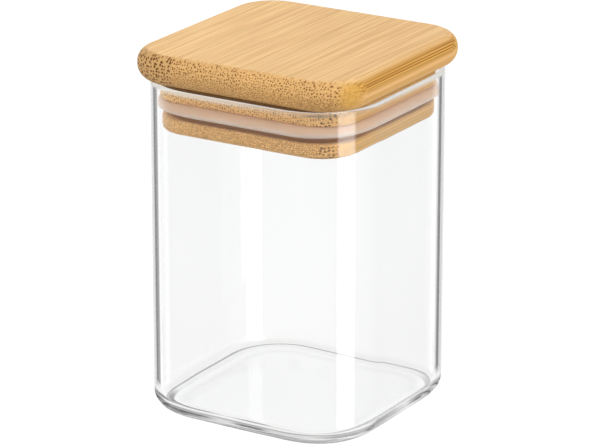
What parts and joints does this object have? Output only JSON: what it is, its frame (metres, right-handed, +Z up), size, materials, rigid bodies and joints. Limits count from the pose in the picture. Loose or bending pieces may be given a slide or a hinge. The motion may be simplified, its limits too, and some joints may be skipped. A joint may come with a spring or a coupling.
{
  "type": "spice jar",
  "caption": "Square clear glass jar with rounded corners, closed by an overhanging bamboo lid whose plug carries a translucent silicone seal.",
  "frame": {"origin": "centre of the jar's base, on the surface that it stands on", "axes": "+Z up through the lid; -Y towards the front, where the lid shows its end grain; +X to the right, where it shows long grain; the bamboo grain runs along Y"},
  "size_m": [0.067, 0.067, 0.0986],
  "materials": {
    "glass": "clear, fire-polished borosilicate",
    "silicone": "translucent white, satin",
    "bamboo_cap": "sanded and oiled, satin",
    "bamboo_plug": "sanded and oiled, satin"
  },
  "bodies": {
    "jar": {"glass_jar": "glass"},
    "lid": {"seal_ring": "silicone", "cap_strip_1": "bamboo_cap", "cap_strip_2": "bamboo_cap", "cap_strip_3": "bamboo_cap", "cap_strip_4": "bamboo_cap", "plug_strip_1": "bamboo_plug", "plug_strip_2": "bamboo_plug", "plug_strip_3": "bamboo_plug", "plug_strip_4": "bamboo_plug"}
  },
  "joints": [
    {"name": "lid_lift", "type": "slide", "parent": "jar", "child": "lid", "axis": [0, 0, 1], "range_m": [0, 0.04]}
  ]
}
